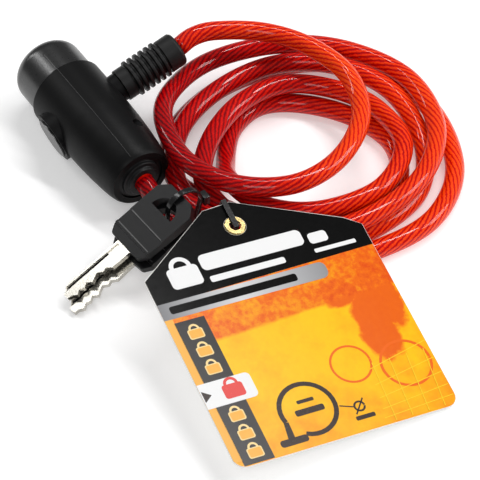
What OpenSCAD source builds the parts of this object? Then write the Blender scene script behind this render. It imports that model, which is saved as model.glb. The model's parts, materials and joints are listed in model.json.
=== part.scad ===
// Cable lock: a locking head, a vinyl-covered steel cable laid in a loose coil, two tied keys
// and a hang tag. Millimetres, +Z up, standing on z = 0 with the head's footprint centred on
// the origin. +X runs along the head's barrel towards the cable mouth.

/* [Head] */
// Distance of the plug's axis from the origin, along the barrel
plug_x = -6.8; // [-8:0.1:-5]
// Turn of the head about its barrel, which tilts the plug upwards
roll = 15; // [0:1:20]
// Outer radius of the housing
housing_r = 16.2; // [15.5:0.1:17]
// Outer radius of the end cap
cap_r = 14.8; // [14:0.1:15.3]
// Radius of the rounded edge of the end cap
cap_edge_r = 6.5; // [4:0.5:7]
// From the plug's axis to the key face of the cap
cap_end = 33.5; // [32.5:0.5:36]
// From the plug's axis to the joint between cap and housing
cap_joint = 13.5; // [13:0.5:18]
// From the plug's axis to the cable mouth
mouth_end = 44.8; // [44:0.2:46]

/* [Lock works] */
// Radius of the die-cast lock body
body_r = 12; // [11:0.5:12]
// Radius of the key cylinder
key_plug_r = 6; // [5.5:0.25:6]
// Number of wafers in the key cylinder
wafer_count = 5; // [3:1:5]
// Radius of the latch pin
pin_r = 4.5; // [4:0.1:4.5]

/* [Boot] */
// Radius of the plain collars of the boot
boot_r = 7.1; // [6.8:0.1:7.4]
// Radius over the boot's ribs
rib_r = 7.9; // [7.5:0.1:8.2]
// Number of ribs
rib_count = 6; // [4:1:7]
// From the barrel's axis to the boot's near end
boot_start = 18.6; // [18.6:0.1:19]
// From the barrel's axis to the boot's far end
boot_end = 46.9; // [46.9:0.1:47]

/* [Cable] */
// Outer diameter of the vinyl cover
cable_d = 8; // [7.6:0.1:8]

/* [Keys] */
// Width of a key bow
bow_w = 22; // [20:0.5:22]
// Thickness of a key bow
bow_t = 4; // [4:0.1:4.5]
// Thickness of a key blade
blade_t = 2.2; // [1.8:0.1:2.4]

/* [Tag] */
// Width of the card
tag_w = 94; // [90:1:96]
// Height of the card's straight sides
tag_h = 87; // [84:1:90]
// Height of the sloping top above the sides
tag_roof = 25; // [22:1:26]
// Thickness of the card
tag_t = 0.5; // [0.4:0.1:0.6]

/* [Hidden] */
$fn = 64;

cable_r = cable_d / 2;
run = 0.05; // clearance of a moving fit
body_end = 8.5; // end of the lock body beyond the plug's axis
body_front = 30; // its other end, inside the cap
cam_back = 8.55; // bottom of the bore that holds the key cylinder and cam
web_end = 18; // end of the solid web between the two cavities
bushing_start = 34; // inner end of the cable bushing
bushing_r = 10;
bushing_end = mouth_end + 2.4; // outer end of the bushing, where the cable comes free
ferrule_r = 6.5;
ferrule_end = 33;
anchor_x = 25;
anchor_r = 1.5;
anchor_l = 22;
screw_x = 28.2;
screw_z = 9.6;
screw_r = 1.2;
screw_head_r = 2;
collar_r = 6.2;
pin_tail = 30; // end of the latch pin inside the boot
groove_start = 2;
groove_end = 5.2;
groove_r = 3.1;
bolt_w = 4;
bolt_back = 8.5; // far end of the locking bolt, which the cam draws back
key_plug_front = 29.9;
key_plug_back = 10.2;
wafer_pitch = 3;
button_r = 8.5;
boss_r = 10.6;
button_reach = 17.6;
button_x = 2.7;

// Route of the cable, from the boot round the coil to the mouth
LEAD = [[-6.8, 45.33, 28.347], [-7.5, 53, 30.2], [-5.5, 63, 30], [4.5, 80, 28.5]];
COIL = [[4.5, 80, 28.5], [20.5, 92, 27], [41.5, 97, 25], [62.5, 89, 23.5], [76.5, 69, 22.5], [78.5, 46, 22.5],
    [65.5, 26, 22.5], [43.5, 17, 22.5], [17.5, 23, 21.5], [0.5, 40, 16],
    [-6.5, 63, 13], [0.5, 90, 13], [18.5, 112, 13], [46.5, 124, 13], [76.5, 117, 13], [96.5, 94, 13],
    [101.5, 61, 13], [91.5, 32, 13], [69.5, 14, 12.5], [44.5, 13, 12.5],
    [21.5, 28, 12.5], [9.5, 53, 12.5], [9.5, 81, 13], [23.5, 103, 13], [47.5, 115, 11], [74.5, 112, 5.5],
    [94.5, 96, 4], [101.5, 71, 4], [97.5, 47, 4], [83.5, 30, 5], [67.5, 22, 10], [49.5, 22, 13],
    [31.5, 37, 12.5], [20.5, 59, 12.5], [21.5, 81, 12], [35.5, 98, 10.5], [55.5, 104, 12], [77.5, 100, 13],
    [91.5, 79, 13], [88.5, 53, 12.5], [75.5, 36, 12.5], [56.5, 31, 12.5], [39.5, 39, 5],
    [24.5, 52, 4], [19.5, 69, 4], [28.5, 85, 4], [46.5, 98, 4], [67.5, 102, 4], [86.5, 91, 4],
    [93.5, 69, 4], [87.5, 47, 4], [73.5, 33, 4], [55.5, 23, 4], [37.5, 17, 4], [17.5, 26, 4]];
LAST_TURN = [[17.5, 26, 4], [5.5, 45, 4], [1.5, 71, 4], [9.5, 101, 4], [31.5, 121, 4], [59.5, 127, 4],
    [91.5, 116, 4], [109.5, 93, 4], [111.5, 65, 4], [103.5, 35, 4], [85.5, 10, 4], [67.5, 2, 7], [52.5, 0, 12.4],
    [40.4, 0, 16.2]];
TUBE_SIDES = 8;

// Keys: the middle of each bow hole, and the turn and fall of its blade
KEY_1_HOLE = [64.9, -4, 24];
KEY_1_TURN = 3;
KEY_1_FALL = 22;
KEY_2_HOLE = [64.9, -4, 18.2];
KEY_2_TURN = 9;
KEY_2_FALL = 19;
blade_l = 30;
bow_foot = 22; // from the hole's middle to the blade's shoulder
blade_w = 8;

// Tag: the middle of its lower edge, its turn, its rise and its sideways lean
TAG_FOOT = [185.1, 1.2, 6.1];
TAG_TURN = -8.3;
TAG_RISE = 10.4;
TAG_LEAN = -7;
tag_peak = -6; // sideways place of the top's peak
eyelet_u = -2.4;
eyelet_v = 100.8;
eyelet_r = 4.4;
eyelet_hole_r = 2.4;

// Frames
module head_frame() {
    translate([plug_x, 0, housing_r]) rotate([roll, 0, 0]) children();
}
module along_barrel(start = 0) {
    translate([start, 0, 0]) rotate([0, 90, 0]) children();
}
module along_plug(start = 0) {
    translate([0, start, 0]) rotate([-90, 0, 0]) children();
}
module key_frame(hole, turn, fall) {
    translate(hole) rotate([0, 0, turn]) rotate([fall, 0, 0]) children();
}
module tag_frame() {
    translate(TAG_FOOT) rotate([TAG_LEAN, TAG_RISE, TAG_TURN]) rotate([0, 0, 90]) children();
}

// Swept tube
function unit(v) = v / norm(v);
function heading(path, i) =
    unit(path[min(i + 1, len(path) - 1)] - path[max(i - 1, 0)]);
function ring(centre, along) =
    let (side = unit(cross([0, 0, 1], along)), top = cross(along, side))
    [for (k = [0 : TUBE_SIDES - 1]) let (a = 360 * (k + 0.5) / TUBE_SIDES)
        centre + cable_r * (cos(a) * side + sin(a) * top)];
module tube(path, start_along, end_along) {
    last = len(path) - 1;
    points = [for (i = [0 : last])
        each ring(path[i], i == 0 ? start_along : i == last ? end_along : heading(path, i))];
    sides = [for (i = [0 : last - 1], k = [0 : TUBE_SIDES - 1])
        let (a = i * TUBE_SIDES + k, b = i * TUBE_SIDES + (k + 1) % TUBE_SIDES)
        each [[a, a + TUBE_SIDES, b], [b, a + TUBE_SIDES, b + TUBE_SIDES]]];
    start_face = [[for (k = [0 : TUBE_SIDES - 1]) k]];
    end_face = [[for (k = [TUBE_SIDES - 1 : -1 : 0]) last * TUBE_SIDES + k]];
    polyhedron(points, concat(sides, start_face, end_face));
}

// Pin across the barrel that holds the cable's fixed end
module anchor_shape() {
    translate([anchor_x, 0, -anchor_l / 2]) cylinder(r = anchor_r, h = anchor_l);
}

// Housing
module housing_outside() {
    along_barrel() rotate_extrude() polygon([[0, -cap_joint], [housing_r - 0.6, -cap_joint],
        [housing_r, -cap_joint + 0.6], [housing_r, 12], [housing_r - 0.3, 21],
        [housing_r - 0.8, 29], [housing_r - 1.5, 36], [housing_r - 2.1, 40.5],
        [housing_r - 2.8, 43.4], [housing_r - 3.6, mouth_end], [0, mouth_end]]);
}
module housing_cavity() {
    along_barrel(-cap_joint - 1) cylinder(r = body_r, h = cap_joint + 1 + body_end);
    along_barrel(web_end) cylinder(r = ferrule_r, h = bushing_start - web_end);
    along_barrel(bushing_start) cylinder(r = bushing_r, h = mouth_end - bushing_start + 1);
    anchor_shape();
}
module housing_half(side) {
    intersection() {
        housing_outside();
        translate([-50, side > 0 ? 0 : -40, -40]) cube([120, 40, 80]);
    }
}
module screw_places() {
    for (z = [-screw_z, screw_z]) translate([screw_x, 0, z]) rotate([-90, 0, 0]) children();
}
module housing_left() {
    color("#1b1b1d") head_frame() difference() {
        union() {
            housing_half(-1);
            translate([button_x, -button_reach + 0.8, 0]) rotate([-90, 0, 0]) cylinder(r = boss_r, h = 6);
        }
        housing_cavity();
        screw_places() translate([0, 0, -7]) cylinder(r = screw_r, h = 7.5);
    }
}
module housing_right() {
    color("#1b1b1d") head_frame() difference() {
        housing_half(1);
        housing_cavity();
        along_plug(8) cylinder(r = collar_r, h = 12);
        screw_places() {
            translate([0, 0, -0.5]) cylinder(r = screw_r, h = 9);
            translate([0, 0, 8]) cylinder(r = screw_head_r, h = 12);
        }
    }
}
module housing_screws() {
    color("#8d8f93") head_frame() screw_places() {
        difference() {
            translate([0, 0, 8]) cylinder(r = screw_head_r, h = 1.4);
            translate([-1.3, -0.25, 8.8]) cube([2.6, 0.5, 1]);
        }
        translate([0, 0, -7]) cylinder(r = screw_r, h = 15);
    }
}
module bracket_button() {
    color("#161618") head_frame() translate([button_x, -button_reach, 0]) rotate([-90, 0, 0])
        cylinder(r = button_r, h = 0.8);
}
module end_cap() {
    color("#222225") head_frame() difference() {
        along_barrel() rotate_extrude() union() {
            translate([0, -cap_end]) square([cap_r - cap_edge_r, cap_end - cap_joint]);
            translate([0, -cap_end + cap_edge_r]) square([cap_r, cap_end - cap_joint - cap_edge_r]);
            translate([cap_r - cap_edge_r, -cap_end + cap_edge_r]) circle(r = cap_edge_r);
        }
        along_barrel(-body_front) cylinder(r = body_r, h = body_front + 1 - cap_joint);
        along_barrel(-cap_end - 1) cylinder(r = key_plug_r + 0.8, h = 6);
    }
}

// Lock works
module lock_body() {
    color("#9c9da1") head_frame() difference() {
        along_barrel(-body_front) cylinder(r = body_r, h = body_front + body_end);
        along_barrel(-body_front - 1) cylinder(r = key_plug_r + run, h = body_front + 1 - cam_back);
        along_plug(-5.5) cylinder(r = pin_r + run, h = 20);
        translate([-9, groove_start + 0.25, -bolt_w / 2 - run])
            cube([6, groove_end - groove_start - 0.5, bolt_w + 2 * run]);
    }
}
module wafer_stations() {
    for (i = [0 : wafer_count - 1]) translate([-27.4 + i * wafer_pitch, 0, 0]) children();
}
module key_plug() {
    color("#b99a4b") head_frame() difference() {
        along_barrel(-key_plug_front) cylinder(r = key_plug_r, h = key_plug_front - key_plug_back);
        translate([-key_plug_front - 1, -1.2, -4.2]) cube([17, 2.4, 8.4]);
        wafer_stations() translate([-0.45, -1.9, -5.5]) cube([0.9, 3.8, 11]);
        wafer_stations() translate([0, 2.7, -3]) cylinder(r = 0.55, h = 6);
    }
}
module wafers() {
    color("#c4a65a") head_frame() wafer_stations() difference() {
        translate([-0.4, -1.8, -5.4]) cube([0.8, 3.6, 10.8]);
        translate([-1, -1.3, -4.2]) cube([2, 2.6, 8.4]);
    }
}
module wafer_springs() {
    color("#c9ccd1") head_frame() wafer_stations() translate([0, 2.75, -2.5]) cylinder(r = 0.4, h = 5);
}
module cam() {
    color("#a7a9ad") head_frame() {
        along_barrel(-key_plug_back) cylinder(r = 5.6, h = 0.9);
        translate([-9.3, 3.4, 0]) rotate([0, 90, 0]) cylinder(r = 0.6, h = 0.5);
    }
}
module locking_bolt() {
    color("#b6b8bc") head_frame()
        translate([-bolt_back, groove_start + 0.3, -bolt_w / 2])
            cube([bolt_back - pin_r - 0.1, groove_end - groove_start - 0.6, bolt_w]);
}
module socket_collar() {
    color("#141415") head_frame() difference() {
        along_plug(body_r) cylinder(r = collar_r, h = boot_start - 0.1 - body_r);
        along_plug(body_r - 1) cylinder(r = pin_r + run, h = 10);
    }
}

// Fixed end of the cable
module cable_bushing() {
    color("#121213") head_frame() difference() {
        union() {
            along_barrel(bushing_start) cylinder(r = bushing_r, h = mouth_end - 0.8 - bushing_start);
            along_barrel(bushing_start) cylinder(r = bushing_r - 1.7, h = mouth_end + 0.8 - bushing_start);
            along_barrel(bushing_start) cylinder(r = bushing_r - 3.5, h = bushing_end - bushing_start);
        }
        along_barrel(bushing_start - 1) cylinder(r = cable_r, h = 20);
    }
}
module fixed_ferrule() {
    color("#8f9195") head_frame() difference() {
        along_barrel(web_end) cylinder(r = ferrule_r, h = ferrule_end - web_end);
        along_barrel(web_end + 2) cylinder(r = cable_r, h = 20);
        anchor_shape();
    }
}
module fixed_cable_end() {
    color("#c8171c") head_frame() difference() {
        along_barrel(web_end + 2) cylinder(r = cable_r, h = bushing_end - web_end - 2);
        anchor_shape();
    }
}
module anchor_pin() {
    color("#b6b8bc") head_frame() anchor_shape();
}

// Plug end of the cable
module latch_pin() {
    color("#c3c5c9") head_frame() along_plug() rotate_extrude() polygon([[0, -5], [pin_r - 1.4, -5],
        [pin_r, -3.6], [pin_r, groove_start], [groove_r, groove_start + 0.1],
        [groove_r, groove_end - 0.1], [pin_r, groove_end], [pin_r, pin_tail], [0, pin_tail]]);
}
module plug_cable_end() {
    color("#c8171c") head_frame() along_plug(pin_tail) cylinder(r = cable_r, h = boot_end - pin_tail);
}
module boot() {
    rib_pitch = 2.7;
    first_rib = boot_start + 5.2;
    color("#1a1a1b") head_frame() difference() {
        union() {
            along_plug(boot_start) cylinder(r = boot_r - 0.2, h = 4.6);
            along_plug(boot_start + 4.6) cylinder(r = boot_r - 1.2, h = 17);
            for (i = [0 : rib_count - 1])
                along_plug(first_rib + i * rib_pitch) cylinder(r = rib_r, h = 1.3);
            along_plug(boot_start + 21) cylinder(r = boot_r + 0.2, h = boot_end - boot_start - 22);
            along_plug(boot_end - 1) cylinder(r1 = boot_r + 0.2, r2 = boot_r - 0.6, h = 1);
        }
        along_plug(boot_start - 1) cylinder(r = pin_r, h = pin_tail - boot_start + 1);
        along_plug(pin_tail - 0.1) cylinder(r = cable_r, h = 20);
    }
}

// Free cable
module cable_lead() {
    color("#d21b1f") tube(LEAD, [0, cos(roll), sin(roll)], heading(COIL, 0));
}
module cable_coil() {
    color("#d21b1f") tube(COIL, heading(COIL, 0), heading(LAST_TURN, 0));
}
module cable_last_turn() {
    color("#d21b1f") tube(LAST_TURN, heading(LAST_TURN, 0), [-1, 0, 0]);
}

// Keys, drawn with the bow hole's middle at the origin and the blade towards -Y
module bow_outline() {
    offset(r = 2) offset(delta = -2) polygon([[-7, 8], [7, 8], [bow_w / 2, 4],
        [bow_w / 2, 3.5 - bow_foot], [8.5, -bow_foot], [-8.5, -bow_foot],
        [-bow_w / 2, 3.5 - bow_foot], [-bow_w / 2, 4]]);
}
module bow_hole() {
    intersection() {
        translate([0, -2.4]) circle(r = 6.2);
        translate([-6.2, -2.6]) square([12.4, 7]);
    }
}
module bow() {
    difference() {
        translate([0, 0, -bow_t / 2]) linear_extrude(bow_t) bow_outline();
        translate([0, 0, -bow_t]) linear_extrude(bow_t * 2) bow_hole();
        translate([-blade_w / 2, -bow_foot - 1, -blade_t / 2]) cube([blade_w, 7, blade_t]);
        for (face = [-1, 1]) {
            translate([-bow_w, -bow_foot - 1, face * bow_t / 2 - 0.5]) cube([bow_w * 2, 5, 1]);
            translate([-bow_w, 4 - bow_foot + 1.2, face * bow_t / 2 - 0.3]) cube([bow_w * 2, 6.5, 0.6]);
        }
    }
}
module blade() {
    tip = -bow_foot - blade_l;
    half = blade_w / 2;
    depths = [0, 1.8, 1.2, 2.8, 2, 0.8, 2.6, 1.4, 2.2, 0.9, 2.4, 2.6];
    cut = [for (i = [0 : len(depths) - 1]) [half - depths[i], -bow_foot - 9 - 1.9 * i]];
    difference() {
        translate([0, 0, -blade_t / 2]) linear_extrude(blade_t)
            polygon(concat([[-half, 6 - bow_foot], [half, 6 - bow_foot]], cut,
                [[0.6, tip], [-1.2, tip], [-half, tip + 3.4]]));
        translate([-half + 1, tip - 1, blade_t / 2 - 0.6]) cube([1.5, blade_l, 1]);
        translate([-half + 3.1, tip - 1, -blade_t / 2 - 0.4]) cube([1.3, blade_l, 1]);
    }
}
module key_1_bow() {
    color("#18181a") key_frame(KEY_1_HOLE, KEY_1_TURN, KEY_1_FALL) bow();
}
module key_1_blade() {
    color("#c9cbd0") key_frame(KEY_1_HOLE, KEY_1_TURN, KEY_1_FALL) blade();
}
module key_2_bow() {
    color("#18181a") key_frame(KEY_2_HOLE, KEY_2_TURN, KEY_2_FALL) bow();
}
module key_2_blade() {
    color("#c9cbd0") key_frame(KEY_2_HOLE, KEY_2_TURN, KEY_2_FALL) blade();
}

// Tie through the bows and round the cable
tie_x = 64.9;
tie_t = 1;
tie_w = 2.4;
TIE_TOP = [3.6, 22.6]; // sideways place and height of the loop's upper round
tie_top_r = 7.1;
TIE_FOOT = [1.6, 8]; // the same for the round under the cable
tie_foot_r = 5.2;
module tie_inside() {
    hull() {
        translate(TIE_TOP) circle(r = tie_top_r);
        translate(TIE_FOOT) circle(r = tie_foot_r);
    }
}
module key_tie() {
    color("#0e0e0f") translate([tie_x - tie_w / 2, 0, 0]) rotate([90, 0, 90]) linear_extrude(tie_w)
        difference() {
            offset(r = tie_t) tie_inside();
            tie_inside();
        }
}
module key_tie_head() {
    color("#0e0e0f") translate([tie_x - 2.2, TIE_TOP[0] + tie_top_r + tie_t, TIE_TOP[1] - 3.2])
        cube([4.4, 2.6, 4.2]);
}

// Tag, drawn with the middle of its lower edge at the origin and its top towards +Y
module tag_outline() {
    half = tag_w / 2;
    union() {
        difference() {
            polygon([[-half + 5, 0], [half - 5, 0], [half, 5], [half, tag_h],
                [half - 6, tag_h + 5], [tag_peak + 6, tag_h + tag_roof],
                [tag_peak - 6, tag_h + tag_roof - 1], [-half, tag_h], [-half, 5]]);
            translate([eyelet_u, eyelet_v]) circle(r = eyelet_hole_r + 0.4);
        }
        for (x = [-half + 5, half - 5]) translate([x, 5]) circle(r = 5);
    }
}
module hang_tag() {
    color("#e8901c") tag_frame() linear_extrude(tag_t) tag_outline();
}
module eyelet() {
    color("#c9a24a") tag_frame() translate([eyelet_u, eyelet_v, 0]) rotate_extrude()
        polygon([[eyelet_hole_r, -0.5], [eyelet_r - 0.4, -0.5], [eyelet_r, 0], [eyelet_hole_r + 0.4, 0],
            [eyelet_hole_r + 0.4, tag_t], [eyelet_r, tag_t], [eyelet_r - 0.4, tag_t + 0.5],
            [eyelet_hole_r, tag_t + 0.5]]);
}
module tag_tie() {
    loop_l = tag_h + tag_roof - eyelet_v;
    color("#0e0e0f") tag_frame() translate([eyelet_u, eyelet_v, tag_t / 2]) difference() {
        translate([-1.1, -1.4, -1.7]) cube([2.2, loop_l + 2.2, 3.4]);
        translate([-2, -0.6, -0.9]) cube([4, loop_l + 0.6, 1.8]);
    }
}

housing_left();
housing_right();
housing_screws();
bracket_button();
end_cap();
lock_body();
key_plug();
wafers();
wafer_springs();
cam();
locking_bolt();
socket_collar();
cable_bushing();
fixed_ferrule();
fixed_cable_end();
anchor_pin();
latch_pin();
plug_cable_end();
boot();
cable_lead();
cable_coil();
cable_last_turn();
key_1_bow();
key_1_blade();
key_2_bow();
key_2_blade();
key_tie();
key_tie_head();
hang_tag();
eyelet();
tag_tie();
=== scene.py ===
"""Looks of the cable lock: a locking head, a red vinyl cable laid in a loose coil, two tied keys
and a hang tag. Metres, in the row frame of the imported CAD."""

import json
import math

import bpy
import numpy as np
from mathutils import Matrix, Vector

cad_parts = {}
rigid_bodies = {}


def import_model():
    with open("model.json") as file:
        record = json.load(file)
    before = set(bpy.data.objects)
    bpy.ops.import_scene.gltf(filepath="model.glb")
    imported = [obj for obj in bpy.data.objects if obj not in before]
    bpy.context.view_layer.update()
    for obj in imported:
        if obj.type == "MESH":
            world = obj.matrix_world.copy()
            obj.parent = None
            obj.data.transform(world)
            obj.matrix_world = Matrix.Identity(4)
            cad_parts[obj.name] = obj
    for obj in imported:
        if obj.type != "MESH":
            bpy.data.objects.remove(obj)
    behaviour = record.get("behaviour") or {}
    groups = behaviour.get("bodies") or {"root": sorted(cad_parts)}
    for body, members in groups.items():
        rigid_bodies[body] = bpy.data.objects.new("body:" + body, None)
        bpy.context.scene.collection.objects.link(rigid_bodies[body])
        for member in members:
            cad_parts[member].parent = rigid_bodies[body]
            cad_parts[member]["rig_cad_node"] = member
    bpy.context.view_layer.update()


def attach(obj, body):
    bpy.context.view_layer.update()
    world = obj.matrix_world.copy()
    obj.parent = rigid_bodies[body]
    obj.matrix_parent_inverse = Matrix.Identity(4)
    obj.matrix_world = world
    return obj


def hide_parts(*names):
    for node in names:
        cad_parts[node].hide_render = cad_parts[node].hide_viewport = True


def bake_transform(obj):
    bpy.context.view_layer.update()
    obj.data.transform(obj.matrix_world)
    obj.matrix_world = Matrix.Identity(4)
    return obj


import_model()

MM = 0.001

# ---------------------------------------------------------------- Places shared with the CAD

PLUG_X, HOUSING_R, ROLL = -6.8, 16.2, 15
CABLE_R = 4.0

# Route of the cable in millimetres, from the boot round the coil to the mouth
LEAD = [(-6.8, 45.33, 28.347), (-7.5, 53, 30.2), (-5.5, 63, 30)]
ROUTE = [
    (4.5, 80, 28.5), (20.5, 92, 27), (41.5, 97, 25), (62.5, 89, 23.5), (76.5, 69, 22.5), (78.5, 46, 22.5),
    (65.5, 26, 22.5), (43.5, 17, 22.5), (17.5, 23, 21.5), (0.5, 40, 16),
    (-6.5, 63, 13), (0.5, 90, 13), (18.5, 112, 13), (46.5, 124, 13), (76.5, 117, 13), (96.5, 94, 13),
    (101.5, 61, 12.75), (91.5, 32, 13), (69.5, 14, 12.5), (44.5, 13, 12.5),
    (21.5, 28, 12.5), (9.5, 53, 12.5), (9.5, 81, 13), (23.5, 103, 13), (47.5, 115, 11), (74.5, 112, 5.5),
    (94.5, 96, 4), (101.5, 71, 4), (97.5, 47, 4), (83.5, 30, 5), (67.5, 22, 10), (49.5, 22, 13),
    (31.5, 37, 12.5), (20.5, 59, 12.5), (21.5, 81, 12), (35.5, 98, 10.5), (55.5, 104, 12), (77.5, 100, 13),
    (91.5, 79, 13), (88.5, 53, 12.5), (75.5, 36, 12.5), (56.5, 31, 12.5), (39.5, 39, 5),
    (24.5, 52, 4), (19.5, 69, 4), (28.5, 85, 4), (46.5, 98, 4), (67.5, 102, 4), (86.5, 91, 4),
    (93.5, 69, 4), (87.5, 47, 4), (73.5, 33, 4), (55.5, 23, 4), (37.5, 17, 4), (17.5, 26, 4),
    (5.5, 45, 4), (1.5, 71, 4), (9.5, 101, 4), (31.5, 121, 4), (59.5, 127, 4), (91.5, 116, 4),
    (109.5, 93, 4), (111.5, 65, 4), (103.5, 35, 4), (85.5, 10, 4), (67.5, 2, 7), (52.5, 0, 12.4),
    (40.4, 0, 16.2),
]

# ---------------------------------------------------------------- Camera

CAMERA_AZIMUTH, CAMERA_ELEVATION, CAMERA_DISTANCE = 57, 46, 1.15
COIL_MIDDLE = Vector((0.0455, 0.047, 0.008))  # the camera stands off from here
CAMERA_AIM = Vector((0.0633, 0.0306, -0.0151))  # and looks here, which frames the whole lock
LENS, SENSOR_W = 213, 36


def make_camera():
    a, e = math.radians(CAMERA_AZIMUTH), math.radians(CAMERA_ELEVATION)
    back = Vector((math.sin(a) * math.cos(e), -math.cos(a) * math.cos(e), math.sin(e)))
    cam = bpy.data.objects.new("camera", bpy.data.cameras.new("camera"))
    bpy.context.collection.objects.link(cam)
    cam.data.lens, cam.data.sensor_width = LENS, SENSOR_W
    cam.location = COIL_MIDDLE + back * CAMERA_DISTANCE
    cam.rotation_mode = "QUATERNION"
    cam.rotation_quaternion = (CAMERA_AIM - cam.location).to_track_quat("-Z", "Y")
    cam.data.clip_start, cam.data.clip_end = 0.05, 20
    bpy.context.scene.camera = cam


make_camera()
bpy.context.scene.view_settings.view_transform = "Standard"

# ---------------------------------------------------------------- Frames of the head, keys and tag


def rotation(degrees, axis):
    return Matrix.Rotation(math.radians(degrees), 4, axis)


HEAD = Matrix.Translation(Vector((PLUG_X, 0, HOUSING_R)) * MM) @ rotation(ROLL, "X")


def key_frame(hole, turn, fall):
    return Matrix.Translation(Vector(hole) * MM) @ rotation(turn, "Z") @ rotation(fall, "X")


KEYS = {1: key_frame((64.9, -4, 24), 3, 22), 2: key_frame((64.9, -4, 18.2), 9, 19)}
TAG_FOOT = Vector((185.1, 1.2, 6.1)) * MM  # the middle of the card's lower edge
TAG = (
    Matrix.Translation(TAG_FOOT)
    @ rotation(-8.3, "Z") @ rotation(10.4, "Y") @ rotation(-7, "X") @ rotation(90, "Z")
)
TAG_W, TAG_H, TAG_ROOF, TAG_PEAK, TAG_T = 94, 87, 25, -6, 0.5
EYELET, EYELET_R = (-2.4, 100.8), 4.4

# ---------------------------------------------------------------- Meshes


def mesh_object(name, vertices, faces, smooth=True):
    mesh = bpy.data.meshes.new(name)
    mesh.from_pydata([tuple(v) for v in vertices], [], [tuple(f) for f in faces])
    mesh.update()
    if smooth:
        mesh.shade_smooth()
    else:
        mesh.shade_flat()
    obj = bpy.data.objects.new(name, mesh)
    bpy.context.collection.objects.link(obj)
    return obj


def spline(points, steps):
    """A Catmull-Rom curve through the points, with the given steps between two of them."""
    p = np.array([points[0], *points, points[-1]], float)
    p[0], p[-1] = 2 * p[1] - p[2], 2 * p[-2] - p[-3]
    t = np.linspace(0, 1, steps, endpoint=False)[:, None]
    parts = [
        0.5 * (2 * b + (c - a) * t + (2 * a - 5 * b + 4 * c - d) * t**2
               + (3 * b - a - 3 * c + d) * t**3)
        for a, b, c, d in zip(p, p[1:], p[2:], p[3:])
    ]
    return np.vstack([*parts, p[-2:-1]])


def even(path, step):
    """The path's points spaced evenly, about a step apart."""
    lengths = np.r_[0, np.cumsum(np.linalg.norm(np.diff(path, axis=0), axis=1))]
    count = int(round(lengths[-1] / step)) + 1
    at = np.linspace(0, lengths[-1], count)
    return np.stack([np.interp(at, lengths, path[:, k]) for k in range(3)], 1), at


def frames_along(path):
    """Side and top directions of a path that turn as little as they can."""
    along = np.gradient(path, axis=0)
    along /= np.linalg.norm(along, axis=1)[:, None]
    side = np.cross((0, 0, 1), along[0])
    sides = []
    for t in along:
        side = side - (side @ t) * t
        side = side / np.linalg.norm(side)
        sides.append(side)
    sides = np.array(sides)
    return along, sides, np.cross(along, sides)


def skin(count, around):
    """Faces of a tube over rings of vertices, with its two ends."""
    faces = [
        (i * around + k, i * around + (k + 1) % around,
         (i + 1) * around + (k + 1) % around, (i + 1) * around + k)
        for i in range(count - 1) for k in range(around)
    ]
    faces.append(tuple(range(around))[::-1])
    faces.append(tuple((count - 1) * around + k for k in range(around)))
    return faces


def tube(name, path, radius, around):
    """A round tube along a path."""
    _, side, top = frames_along(path)
    turn = np.linspace(0, 2 * math.pi, around, endpoint=False)
    ring = np.cos(turn)[None, :, None] * side[:, None] + np.sin(turn)[None, :, None] * top[:, None]
    vertices = (path[:, None] + radius * ring).reshape(-1, 3)
    return mesh_object(name, vertices, skin(len(path), around))


# ---------------------------------------------------------------- Materials


def material(name, colour, roughness, metallic=0.0, **inputs):
    """A Principled material; inputs are the node's other inputs, with _ for a space."""
    m = bpy.data.materials.new(name)
    m.use_nodes = True
    n = m.node_tree.nodes["Principled BSDF"]
    n.inputs["Base Color"].default_value = (*colour, 1)
    n.inputs["Roughness"].default_value = roughness
    n.inputs["Metallic"].default_value = metallic
    for key, value in inputs.items():
        n.inputs[key.replace("_", " ")].default_value = value
    return m


def add_node(m, kind, **values):
    node = m.node_tree.nodes.new(kind)
    for key, value in values.items():
        if hasattr(node, key):
            setattr(node, key, value)
        else:
            node.inputs[key.replace("_", " ")].default_value = value
    return node


def link(m, out, to):
    m.node_tree.links.new(out, to)


GRAIN_DEPTH = 0.05 * MM


def grain(m, scale, height, rough_low, rough_high):
    """Fine noise in a material's roughness, and in its surface unless the height is 0."""
    principled = m.node_tree.nodes["Principled BSDF"]
    place = add_node(m, "ShaderNodeTexCoord")
    noise = add_node(m, "ShaderNodeTexNoise", Scale=scale, Detail=2)
    link(m, place.outputs["Object"], noise.inputs["Vector"])
    if height:
        bump = add_node(m, "ShaderNodeBump", Strength=height, Distance=GRAIN_DEPTH)
        link(m, noise.outputs["Fac"], bump.inputs["Height"])
        link(m, bump.outputs["Normal"], principled.inputs["Normal"])
    spread = add_node(m, "ShaderNodeMapRange", To_Min=rough_low, To_Max=rough_high)
    link(m, noise.outputs["Fac"], spread.inputs["Value"])
    link(m, spread.outputs["Result"], principled.inputs["Roughness"])
    return m


black_housing = grain(material("black_housing", (0.004, 0.004, 0.0042), 0.42, Specular_IOR_Level=0.13),
                      2600, 0.35, rough_low=0.36, rough_high=0.50)
black_cap = grain(material("black_cap", (0.006, 0.006, 0.0062), 0.28, Specular_IOR_Level=0.85), 900, 0.05,
                  rough_low=0.24, rough_high=0.34)
black_boot = grain(material("black_boot", (0.005, 0.005, 0.005), 0.46, Specular_IOR_Level=0.35), 1500, 0.2,
                   rough_low=0.40, rough_high=0.52)
black_bushing = grain(material("black_bushing", (0.006, 0.006, 0.0065), 0.45, Specular_IOR_Level=0.3),
                      1500, 0.15, rough_low=0.4, rough_high=0.5)
key_plastic = grain(material("key_plastic", (0.005, 0.005, 0.0055), 0.30, Specular_IOR_Level=0.22),
                    1800, 0.15, rough_low=0.32, rough_high=0.42)
black_tie = grain(material("black_tie", (0.008, 0.008, 0.0085), 0.18), 700, 0.05,
                  rough_low=0.14, rough_high=0.24)
nickel = grain(material("nickel_key", (0.56, 0.54, 0.49), 0.24, 1.0), 500, 0.01,
               rough_low=0.18, rough_high=0.34)
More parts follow.
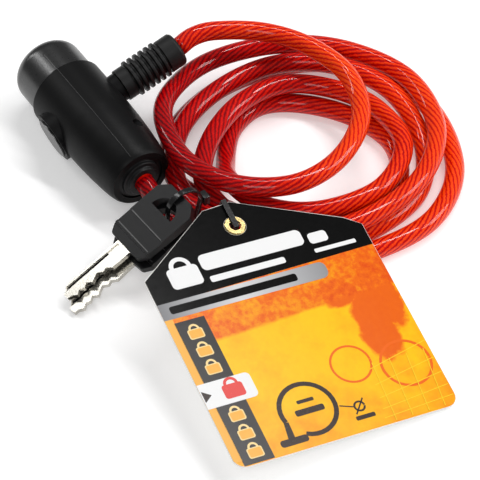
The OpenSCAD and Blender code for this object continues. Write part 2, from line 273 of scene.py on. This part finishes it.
steel = grain(material("bright_steel", (0.60, 0.60, 0.61), 0.28, 1.0), 900, 0.06,
              rough_low=0.22, rough_high=0.36)
zinc = grain(material("zinc", (0.45, 0.45, 0.46), 0.45, 1.0), 800, 0.15,
             rough_low=0.38, rough_high=0.55)
brass = grain(material("brass_plug", (0.72, 0.52, 0.22), 0.28, 1.0), 900, 0.06,
              rough_low=0.22, rough_high=0.36)
eyelet_brass = grain(material("brass_eyelet", (0.86, 0.66, 0.28), 0.2, 1.0), 300, 0,
                     rough_low=0.14, rough_high=0.28)
card = grain(material("card_stock", (0.80, 0.78, 0.74), 0.35), 900, 0.02, rough_low=0.3, rough_high=0.4)


def paint(obj, m):
    """Puts a material on a piece, in the object's own slots."""
    if not obj.data.materials:
        obj.data.materials.append(None)
    for s in obj.material_slots:
        s.link = "OBJECT"
        s.material = m
    return obj


# ---------------------------------------------------------------- Cable

# The sheath's shape
STEP = 2.4 * MM  # from one ring of points to the next
SPLINE_STEPS = 24  # points between two of the route's, before they are spaced evenly
AROUND = 20  # sides of the sheath
YIELD_LENGTH = 0.14  # how far from the boot the share worked out in give_with_plug runs from nothing to all

# The wires that show through it
STRANDS, WIRES_PER_STRAND = 13, 3
LAY = 62 * MM  # length of one turn of the strands; a wire's turn is half as long
STRAND_WOBBLE, WIRE_WOBBLE = 1.8, 2.0
WIRE_DEPTH = 0.5 * MM
STRAND_SHARE, WIRE_SHARE, GRIT_SHARE = 0.50, 0.26, 0.34  # of the height, and so of the painted shade in the grooves
WANDER_SCALE, PATCH_SCALE, GRIT_SCALE = 420, 22, 1500
PATCH_STRENGTH = 0.35

# Where the vinyl is painted darker and lighter: painted shade towards the head and painted light away from it
PAINTED_LIGHT_TOWARD = (0.55, 0.84, 0)  # the side of the coil away from the head, where the painted light grows
PAINTED_SHADE_EVEN_AT, DRIFT = 0.088, 4.3  # where the painted shade is even, and its change per metre
LEAD_SHADE_LIFTED_TO = 0.17  # how far from the boot the painted shade on the lead is lifted
LEAD_FADE, LEAD_MOST = 4.5, 0.2


def math_node(m, operation, a, b=None):
    node = add_node(m, "ShaderNodeMath", operation=operation)
    for k, value in enumerate((a, b)):
        if isinstance(value, (int, float)):
            node.inputs[k].default_value = value
        elif value is not None:
            link(m, value, node.inputs[k])
    return node.outputs[0]


def clamped(m, value, most):
    """The value kept between 0 and the most it may be."""
    return math_node(m, "MAXIMUM", math_node(m, "MINIMUM", value, most), 0)


def ramp(m, fac, *stops):
    """Colours by a value, each stop being (position, colour)."""
    node = add_node(m, "ShaderNodeValToRGB")
    elements = node.color_ramp.elements
    while len(elements) < len(stops):
        elements.new(0.5)
    for element, (position, colour) in zip(elements, stops):
        element.position, element.color = position, (*colour, 1)
    link(m, fac, node.inputs["Fac"])
    return node.outputs["Color"]


def sheath_material():
    """Clear red vinyl, with twisted wires showing through it under a smooth glossy skin; the grooves between
    the wires are painted dark as painted shade, and the side towards the head is painted in shade.
    """
    m = material("red_vinyl", (0.75, 0.012, 0.012), 0.35, Specular_IOR_Level=0.05, Coat_Weight=0.55,
                 Coat_Roughness=0.05, Coat_IOR=1.42)
    principled = m.node_tree.nodes["Principled BSDF"]
    place = add_node(m, "ShaderNodeUVMap", uv_map="cable")
    parts = add_node(m, "ShaderNodeSeparateXYZ")
    link(m, place.outputs["UV"], parts.inputs[0])
    along, around = parts.outputs["X"], parts.outputs["Y"]
    spot = add_node(m, "ShaderNodeTexCoord")
    wander, patches, grit = (
        add_node(m, "ShaderNodeTexNoise", Scale=scale, Detail=2)
        for scale in (WANDER_SCALE, PATCH_SCALE, GRIT_SCALE)
    )
    for noise in (wander, patches, grit):
        link(m, spot.outputs["Object"], noise.inputs["Vector"])

    def ridges(count, turns_per_metre, wobble):
        """Rounded ridges that wind round the cable, high in their middles."""
        turns = math_node(m, "ADD", math_node(m, "MULTIPLY", along, turns_per_metre), around)
        phase = math_node(m, "MULTIPLY", turns, count * math.pi)
        phase = math_node(m, "ADD", phase, math_node(m, "MULTIPLY", wander.outputs["Fac"], wobble))
        return math_node(m, "ABSOLUTE", math_node(m, "SINE", phase))

    strand = ridges(STRANDS, 1 / LAY, STRAND_WOBBLE)
    wire = ridges(STRANDS * WIRES_PER_STRAND, 1 / (LAY * 0.5), WIRE_WOBBLE)
    height = math_node(m, "ADD", math_node(m, "MULTIPLY", strand, STRAND_SHARE),
                       math_node(m, "MULTIPLY", wire, WIRE_SHARE))
    height = math_node(m, "ADD", height, math_node(m, "MULTIPLY", grit.outputs["Fac"], GRIT_SHARE))
    # painted shade: the cable is painted darker and more crimson on the side towards the head, as if lit from
    # the far side
    far = add_node(m, "ShaderNodeVectorMath", operation="DOT_PRODUCT")
    link(m, spot.outputs["Object"], far.inputs[0])
    far.inputs[1].default_value = PAINTED_LIGHT_TOWARD
    drift = math_node(m, "MULTIPLY", math_node(m, "SUBTRACT", far.outputs["Value"], PAINTED_SHADE_EVEN_AT), DRIFT)
    shade = math_node(m, "MULTIPLY", math_node(m, "SUBTRACT", patches.outputs["Fac"], 0.5), PATCH_STRENGTH)
    shade = math_node(m, "ADD", shade, drift)
    # and the painted shade lifted, painted lighter, where it leaves the boot
    lead = math_node(m, "MULTIPLY", math_node(m, "SUBTRACT", LEAD_SHADE_LIFTED_TO, along), LEAD_FADE)
    shade = math_node(m, "ADD", shade, clamped(m, lead, LEAD_MOST))
    # the colour follows the height: dark crimson in the grooves between the wires, a painted shade, and light
    # orange on their crowns, with the painted shade above added
    colour = ramp(m, math_node(m, "ADD", height, shade), (0.18, (0.09, 0.000, 0.003)),
                  (0.54, (0.38, 0.000, 0.002)), (0.82, (0.76, 0.006, 0.001)), (1.0, (0.95, 0.075, 0.004)))
    link(m, colour, principled.inputs["Base Color"])
    bump = add_node(m, "ShaderNodeBump", Strength=0.5, Distance=WIRE_DEPTH)
    link(m, height, bump.inputs["Height"])
    link(m, bump.outputs["Normal"], principled.inputs["Normal"])
    return m


def unwrap_along(obj, lengths, around):
    """Lays a tube out flat: length along it in metres, and turns round it."""
    layer = obj.data.uv_layers.new(name="cable")
    for face in obj.data.polygons:
        if len(face.vertices) != 4:
            continue
        k = face.index % around
        for loop in face.loop_indices:
            v = obj.data.loops[loop].vertex_index
            turn = v % around
            layer.data[loop].uv = (lengths[v // around], (turn if turn >= k else around) / around)


red_vinyl = sheath_material()

route = [tuple(c * MM for c in p) for p in [*LEAD, *ROUTE]]
cable_path, cable_at = even(spline(route, SPLINE_STEPS), STEP)
sheath = paint(tube("cable_sheath", cable_path, CABLE_R * MM, AROUND), red_vinyl)
unwrap_along(sheath, cable_at, AROUND)


def give_with_plug(obj, at):
    """Bakes the piece's place into its mesh, and works out from its points' places along the cable how much
    of them would follow the plug near the boot; nothing uses that share."""
    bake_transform(obj)
    share = np.clip(at / YIELD_LENGTH, 0, 1)
    share = share * share * (3 - 2 * share)


give_with_plug(sheath, np.repeat(cable_at, AROUND))
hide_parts("cable_lead", "cable_coil", "cable_last_turn")
nodes = {o["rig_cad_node"]: o for o in bpy.context.scene.objects if "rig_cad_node" in o}

# ---------------------------------------------------------------- CAD nodes carried over

CAD_MATERIALS = {  # by a word in the node's name: the first that fits
    "screws": steel, "housing": black_housing, "button": black_cap, "cap": black_cap,
    "lock_body": zinc, "key_plug": brass, "wafers": brass, "springs": steel, "cam": steel,
    "bolt": steel, "collar": black_housing, "bushing": black_bushing, "ferrule": zinc,
    "cable_end": red_vinyl, "anchor": steel, "latch": steel, "boot": black_boot,
    "bow": key_plastic, "blade": nickel, "tie": black_tie, "hang_tag": card,
    "eyelet": eyelet_brass,
}
EDGE_RADII = {  # softened edges of the mouldings, in millimetres
    "housing": 0.45, "cap": 0.4, "button": 0.35, "bow": 0.45, "boot": 0.2, "bushing": 0.3,
    "key_tie": 0.2, "collar": 0.2,
}
SHARP = math.radians(35)  # an edge that turns more than this is softened


def soften(obj, radius):
    """Rounds a CAD part's sharp edges a little, for the light to catch."""
    weld = obj.modifiers.new("weld", "WELD")
    weld.merge_threshold = 0.01 * MM
    bevel = obj.modifiers.new("soften", "BEVEL")
    bevel.width, bevel.segments, bevel.limit_method = radius * MM, 2, "ANGLE"
    bevel.angle_limit = SHARP
    even_out = obj.modifiers.new("even_out", "WEIGHTED_NORMAL")
    even_out.weight = 90


for name, obj in nodes.items():
    chosen = [m for word, m in CAD_MATERIALS.items() if word in name]
    if chosen:
        paint(obj, chosen[0])
    radii = [radius for word, radius in EDGE_RADII.items() if word in name]
    if radii:
        soften(obj, radii[0])

# ---------------------------------------------------------------- Mould lines of the housing and cap

SEAM_R = 0.13  # half the width of the flash on a mould line, in millimetres
SEAM_RINGS, SEAM_SIDES = 40, 8
# Places along the barrel and radii, in millimetres
HOUSING_PROFILE = [(-12.9, 16.2), (12, 16.2), (21, 15.9), (29, 15.4), (36, 14.7), (40.5, 14.1), (43.2, 13.4)]
CAP_PROFILE = [(-24, 14.8), (-13.6, 14.8)]


def make_seam(name, profile, m):
    """The thin flash that stands on a mould line along the barrel's upper side."""
    places, radii = np.array(profile).T
    points = [HEAD @ (Vector((x, 0, np.interp(x, places, radii))) * MM)
              for x in np.linspace(places[0], places[-1], SEAM_RINGS)]
    seam = paint(tube(name, np.array([tuple(p) for p in points]), SEAM_R * MM, SEAM_SIDES), m)
    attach(seam, "head")


# the flash is painted lighter than the black plastic it stands on, a painted highlight along the mould lines,
# brighter on the cap
seam_painted_highlight = grain(material("seam_painted_highlight", (0.03, 0.03, 0.03), 0.35), 900, 0.05, rough_low=0.3, rough_high=0.4)
cap_seam_painted_highlight = grain(material("cap_seam_painted_highlight", (0.11, 0.11, 0.11), 0.35), 900, 0.05, rough_low=0.3, rough_high=0.4)
make_seam("housing_seam", HOUSING_PROFILE, seam_painted_highlight)
make_seam("cap_seam", CAP_PROFILE, cap_seam_painted_highlight)

# ---------------------------------------------------------------- Print on the tag

LAYER = 0.045  # thickness of one layer of print, in millimetres


def slab(name, outline, layer, m, body="tag", frame_matrix=TAG, base=TAG_T):
    """A thin flat shape on the card or a key: its outline is in that part's millimetres."""
    low, high = (base + layer * LAYER) * MM, (base + (layer + 1) * LAYER) * MM
    n = len(outline)
    points = [(x * MM, y * MM, z) for z in (low, high) for x, y in outline]
    faces = [tuple(range(n))[::-1], tuple(range(n, 2 * n))]
    faces += [(i, (i + 1) % n, n + (i + 1) % n, n + i) for i in range(n)]
    obj = paint(mesh_object(name, points, faces, smooth=False), m)
    obj.matrix_world = frame_matrix
    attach(obj, body)
    return obj


def arc(x, y, r, start, end, steps):
    """Points on an arc, in degrees."""
    return [
        (x + r * math.cos(math.radians(a)), y + r * math.sin(math.radians(a)))
        for a in np.linspace(start, end, steps + 1)
    ]


def rounded(x0, y0, x1, y1, radii):
    """A rectangle with rounded corners: radii for lower left, lower right, upper right, upper left."""
    corners = [(x0, y0, 180), (x1, y0, 270), (x1, y1, 0), (x0, y1, 90)]
    points = []
    for (x, y, a), r in zip(corners, radii):
        if r:
            sx, sy = (1 if x == x0 else -1), (1 if y == y0 else -1)
            points += arc(x + sx * r, y + sy * r, r, a, a + 90, 6)
        else:
            points.append((x, y))
    return points


def ring_band(x, y, r, width, start, end, steps=28):
    """An open ring of a given width."""
    return arc(x, y, r + width / 2, start, end, steps) + arc(x, y, r - width / 2, end, start, steps)


def ink(name, colour, roughness=0.22, gloss=0.16):
    return grain(material(name, colour, roughness, Specular_IOR_Level=gloss), 900, 0.01,
                 rough_low=roughness - 0.04, rough_high=roughness + 0.06)


# Millimetres across and up the card
HORIZON, HORIZON_SLOPE = 55, 0.05
ORANGE_RIGHT_OF, ORANGE_BELOW = 30, 34
ORANGE_PATCHES = ((23, 60, 9, 8), (31, 42, 9, 19), (40, 58, 8, 22))  # middles and half sizes


def field_ink():
    """The card's printed field: orange over yellow in soft drifts."""
    m = ink("ink_field", (0.9, 0.5, 0.05))
    principled = m.node_tree.nodes["Principled BSDF"]
    place = add_node(m, "ShaderNodeTexCoord")
    parts = add_node(m, "ShaderNodeSeparateXYZ")
    link(m, place.outputs["Object"], parts.inputs[0])
    u, v = (math_node(m, "MULTIPLY", parts.outputs[k], 1000) for k in ("X", "Y"))
    drift = add_node(m, "ShaderNodeTexNoise", Scale=70, Detail=5, Roughness=0.6)
    link(m, place.outputs["Object"], drift.inputs["Vector"])
    speck = add_node(m, "ShaderNodeTexNoise", Scale=420, Detail=3, Roughness=0.7)
    link(m, place.outputs["Object"], speck.inputs["Vector"])
    # orange gathers above a rising horizon, to the right and low down
    horizon = math_node(m, "ADD", math_node(m, "MULTIPLY", u, HORIZON_SLOPE), HORIZON)
    above = clamped(m, math_node(m, "MULTIPLY", math_node(m, "SUBTRACT", v, horizon), 0.35), 0.55)
    right = math_node(m, "MULTIPLY", math_node(m, "SUBTRACT", u, ORANGE_RIGHT_OF), 0.008)
    right = math_node(m, "MAXIMUM", right, 0)
    low = math_node(m, "MULTIPLY", math_node(m, "SUBTRACT", ORANGE_BELOW, v), 0.007)
    low = math_node(m, "MAXIMUM", low, 0)
    fog = math_node(m, "MULTIPLY", math_node(m, "SUBTRACT", drift.outputs["Fac"], 0.5), 0.9)
    grit = math_node(m, "MULTIPLY", math_node(m, "SUBTRACT", speck.outputs["Fac"], 0.5),
                     math_node(m, "ADD", math_node(m, "MULTIPLY", above, 1.6), 0.15))
    total = math_node(m, "ADD", math_node(m, "ADD", above, right), math_node(m, "ADD", low, fog))
    for place_u, place_v, wide, tall in ORANGE_PATCHES:
        across = math_node(m, "DIVIDE", math_node(m, "SUBTRACT", u, place_u), wide)
        up = math_node(m, "DIVIDE", math_node(m, "SUBTRACT", v, place_v), tall)
        reach = math_node(m, "ADD", math_node(m, "MULTIPLY", across, across),
                          math_node(m, "MULTIPLY", up, up))
        reach = math_node(m, "ADD", reach, math_node(m, "MULTIPLY", fog, 2.4))
        shape = clamped(m, math_node(m, "MULTIPLY", math_node(m, "SUBTRACT", 1, reach), 2.5), 1)
        total = math_node(m, "MAXIMUM", total, math_node(m, "MULTIPLY", shape, 0.72))
    total = math_node(m, "ADD", math_node(m, "ADD", total, grit), 0.12)
    colour = ramp(m, total, (0.0, (0.92, 0.58, 0.000)), (0.35, (0.88, 0.38, 0.000)),
                  (0.75, (0.80, 0.14, 0.000)), (1.0, (0.70, 0.07, 0.000)))
    link(m, colour, principled.inputs["Base Color"])
    return m


def silver_ink():
    """Silver that runs from dark at the card's left edge to bright, and back a little."""
    m = ink("ink_silver", (0.42, 0.42, 0.43), 0.3)
    place = add_node(m, "ShaderNodeTexCoord")
    parts = add_node(m, "ShaderNodeSeparateXYZ")
    link(m, place.outputs["Object"], parts.inputs[0])
    across = math_node(m, "ADD", math_node(m, "DIVIDE", parts.outputs["X"], TAG_W * MM), 0.5)
    colour = ramp(m, across, (0.0, (0.20, 0.20, 0.21)), (0.35, (0.62, 0.62, 0.63)),
                  (0.75, (0.26, 0.26, 0.27)))
    link(m, colour, m.node_tree.nodes["Principled BSDF"].inputs["Base Color"])
    return m


INK = {
    "black": ink("ink_black", (0.004, 0.004, 0.004), 0.16, 0.07),
    "silver": silver_ink(),
    "strip": ink("ink_strip", (0.025, 0.022, 0.022), 0.2),
    "white": ink("ink_white", (0.80, 0.80, 0.80), 0.25),
    "gold": ink("ink_gold", (0.86, 0.42, 0.06), 0.25),
    "cream": ink("ink_cream", (0.90, 0.66, 0.30), 0.25),
    "red": ink("ink_red", (0.72, 0.06, 0.05), 0.25),
    "dark": ink("ink_dark", (0.030, 0.016, 0.012), 0.25),
    "orange": ink("ink_orange", (0.80, 0.13, 0.006), 0.22),
    "yellow": ink("ink_yellow", (0.92, 0.62, 0.02), 0.22),
}
HALF = TAG_W / 2
EDGE = 0.12  # the print stops just short of the card's edge
CORNER = 4.8  # radius of the print's lower corners
FIELD_LEFT, FIELD_MIDDLE, FIELD_RIGHT = 75, 76, 77  # how high the printed field goes


def print_padlock(name, u, v, size, face_ink, rim_ink, layer):
    """A small padlock sign: rim, face and shackle."""
    w, h = size, size * 0.72
    rim = rounded(u - w / 2, v - h / 2, u + w / 2, v + h / 2, [size * 0.14] * 4)
    face = rounded(u - w * 0.42, v - h * 0.40, u + w * 0.42, v + h * 0.40, [size * 0.1] * 4)
    shackle = ring_band(u, v + h / 2, size * 0.28, size * 0.14, 0, 180, 12)
    slab(name + "_rim", rim, layer, rim_ink)
    slab(name + "_face", face, layer + 1, face_ink)
    slab(name + "_shackle", shackle, layer, rim_ink)


def bar(name, u, v, w, h, layer, m):
    """A rounded bar by its middle and size."""
    slab(name, rounded(u - w / 2, v - h / 2, u + w / 2, v + h / 2, [h * 0.3] * 4), layer, m)


def line(name, a, b, width, layer, m):
    """A straight line of a given width."""
    across = np.array((a[1] - b[1], b[0] - a[0])) / math.dist(a, b) * width / 2
    a, b = np.array(a), np.array(b)
    slab(name, [a - across, b - across, b + across, a + across], layer, m)


def print_tag():
    """All the print, from the card's left lower corner up; places are across and up the card."""
    left, right, low, peak = -HALF + EDGE, HALF - EDGE, EDGE, TAG_H + TAG_ROOF - EDGE
    slab("print_field", [*arc(left + CORNER, 5, CORNER, 180, 270, 6),
                         *arc(right - CORNER, 5, CORNER, 270, 360, 6),
                         (right, FIELD_RIGHT), (left, FIELD_LEFT)], 0, field_ink())
    u, v = EYELET
    hole = EYELET_R + 0.1
    slab("print_top_left", [(left, FIELD_LEFT), (u, FIELD_MIDDLE), *arc(u, v, hole, 270, 90, 16),
                            (u, peak - 0.4), (TAG_PEAK - 6, peak - 1), (left, TAG_H - 0.2)],
         0, INK["black"])
    slab("print_top_right", [(u, FIELD_MIDDLE), (right, FIELD_RIGHT), (right, TAG_H),
                             (HALF - 6.1, TAG_H + 4.8), (TAG_PEAK + 6, peak), (u, peak - 0.4),
                             *arc(u, v, hole, 90, -90, 16)], 0, INK["black"])
    slab("print_band", rounded(left, 68, 24, 75.4, [0, 3, 2.5, 0]), 1, INK["silver"])
    slab("print_margin", rounded(left, 3, -43.6, 68, [1, 0, 0, 0]), 1, INK["gold"])
    slab("print_strip", rounded(-43.8, 0.6, -31.3, 66, [0, 0, 0, 0]), 1, INK["strip"])
    slab("print_box", rounded(left, 27, -25.5, 38, [0, 2, 2, 0]), 2, INK["white"])
    for n, v in enumerate((4.9, 13.1, 21.4, 43.0, 51.2, 59.4)):
        print_padlock(f"print_lock_{n}", -37.4, v, 6.2, INK["gold"], INK["cream"], 2)
    print_padlock("print_lock_chosen", -34.0, 32, 8.4, INK["red"], INK["red"], 3)
    slab("print_arrow", [(-46.4, 35), (-46.4, 30), (-43, 32.5)], 3, INK["dark"])
    # title: a plain padlock sign and bars where words would be
    print_padlock("print_sign", -31, 84.5, 13, INK["white"], INK["white"], 1)
    title = ((-1, 88.4, 44, 7.4), (-6, 80.4, 32, 2.8), (32, 80.6, 18, 1.8), (27, 86.4, 8, 5.0))
    for n, (u, v, w, h) in enumerate(title):
        bar(f"print_title_{n}", u, v, w, h, 1, INK["white"])
    bar("print_band_words", -16, 71.7, 54, 3.4, 2, INK["black"])
    # the drawn lock: a loop of cable with its head, and the cable's cross-section
    slab("print_loop", ring_band(-10.5, 16, 11, 1.9, -118, 196), 1, INK["dark"])
    slab("print_loop_head", rounded(-27, 3.2, -15.5, 6.2, [1.2] * 4), 1, INK["dark"])
    slab("print_loop_joint", [(-23.2, 6.0), (-20.4, 6.0), (-20.1, 12.8), (-22.0, 13.2)], 1, INK["dark"])
    bar("print_loop_words_0", -10, 19.6, 7, 1.5, 1, INK["dark"])
    bar("print_loop_words_1", -10, 15.2, 12, 2.6, 1, INK["dark"])
    slab("print_section", ring_band(9, 11, 2.0, 0.8, 0, 352), 1, INK["dark"])
    line("print_section_slash", (6.4, 8.0), (11.6, 14.0), 0.6, 1, INK["dark"])
    line("print_section_leader", (1.6, 13.4), (6.6, 11.4), 0.5, 1, INK["dark"])
    bar("print_section_words", 9.4, 6.2, 8, 1.8, 1, INK["dark"])
    # plain rings and lines behind them
    slab("print_wheel_0", ring_band(35, 23, 10, 1.1, 0, 359, 40), 1, INK["orange"])
    slab("print_wheel_1", ring_band(14, 29, 8, 0.9, 0, 359, 36), 1, INK["orange"])
    for n, v in enumerate((3.2, 7.0, 11.8, 17.6, 24.6)):
        line(f"print_grid_{n}", (16 + n, v), (HALF - 0.6, v + 1.5 + n), 0.3, 2, INK["yellow"])
    for n, u in enumerate((20, 27, 34, 41)):
        line(f"print_rail_{n}", (u, 1), (u + 2 + n * 0.4, 27), 0.3, 3, INK["yellow"])


print_tag()

# ---------------------------------------------------------------- Grooves and ridges of the keys

BLADE_T, BLADE_TIP, BOW_T = 2.2, -52, 4
GROOVE_LEFT, GROOVE_RIGHT, GROOVE_TOP = -2.9, -1.6, -28.5
GROOVE_DEPTH = 0.58
RIDGE_HALF_LENGTH, RIDGE_HALF_WIDTH = 10, 0.2
# the bow's ridges are painted lighter than its black plastic, a painted highlight
key_ridge_painted_highlight = grain(material("key_ridge_painted_highlight", (0.045, 0.045, 0.046), 0.3), 900, 0.02,
                  rough_low=0.26, rough_high=0.36)


def mark_key(n):
    """The groove along a key's blade, its floor painted black as painted shade, and two ridges across its
    bow, painted lighter as painted highlights.
    """
    groove = [(GROOVE_LEFT, BLADE_TIP + 3), (GROOVE_RIGHT, BLADE_TIP + 1), (GROOVE_RIGHT, GROOVE_TOP),
              (GROOVE_LEFT, GROOVE_TOP)]
    # the groove's floor is painted black, a painted shade
    slab(f"key_{n}_groove", groove, 0, INK["black"], f"key_{n}", KEYS[n], BLADE_T / 2 - GROOVE_DEPTH)
    for k, v in enumerate((-16.9, -10.1)):
        ridge = rounded(-RIDGE_HALF_LENGTH, v - RIDGE_HALF_WIDTH, RIDGE_HALF_LENGTH, v + RIDGE_HALF_WIDTH,
                        [0.15] * 4)
        slab(f"key_{n}_ridge_{k}", ridge, 0, key_ridge_painted_highlight, f"key_{n}", KEYS[n], BOW_T / 2)


mark_key(1)
mark_key(2)

# ---------------------------------------------------------------- Floor and light


def area_light(name, place, aim, size, power):
    """A rectangular white light, its size in metres and its power in watts."""
    data = bpy.data.lights.new(name, "AREA")
    data.shape, data.size, data.size_y = "RECTANGLE", *size
    data.energy = power
    lamp = bpy.data.objects.new(name, data)
    bpy.context.collection.objects.link(lamp)
    lamp.location = Vector(place)
    lamp.rotation_mode = "QUATERNION"
    lamp.rotation_quaternion = (Vector(aim) - Vector(place)).to_track_quat("-Z", "Y")


def make_floor():
    half = 3  # metres
    floor = mesh_object("floor", [(-half, -half, 0), (half, -half, 0), (half, half, 0),
                                  (-half, half, 0)], [(0, 1, 2, 3)], smooth=False)
    paint(floor, material("floor", (0.80, 0.80, 0.80), 0.9, Emission_Color=(1, 1, 1, 1),
                          Emission_Strength=0.32))


def make_light():
    """An even white room, strips overhead and on the left for thin highlights, a softbox on the
    right and a soft fill in front."""
    world = bpy.data.worlds.new("studio")
    bpy.context.scene.world = world
    world.use_nodes = True
    background = world.node_tree.nodes["Background"]
    background.inputs["Color"].default_value = (1, 1, 1, 1)
    background.inputs["Strength"].default_value = 0.17
    aim = (0.06, 0.04, 0)
    area_light("strip_overhead", (-0.10, 0.45, 1.0), aim, (0.9, 0.10), 6.4)
    area_light("softbox_right", (0.55, 0.85, 0.55), aim, (0.45, 0.45), 5.6)
    area_light("strip_left", (-0.75, -0.35, 0.75), aim, (0.12, 0.9), 3.0)
    area_light("front_fill", (0.9, -0.6, 1.1), aim, (0.6, 0.6), 5.0)


make_floor()
make_light()
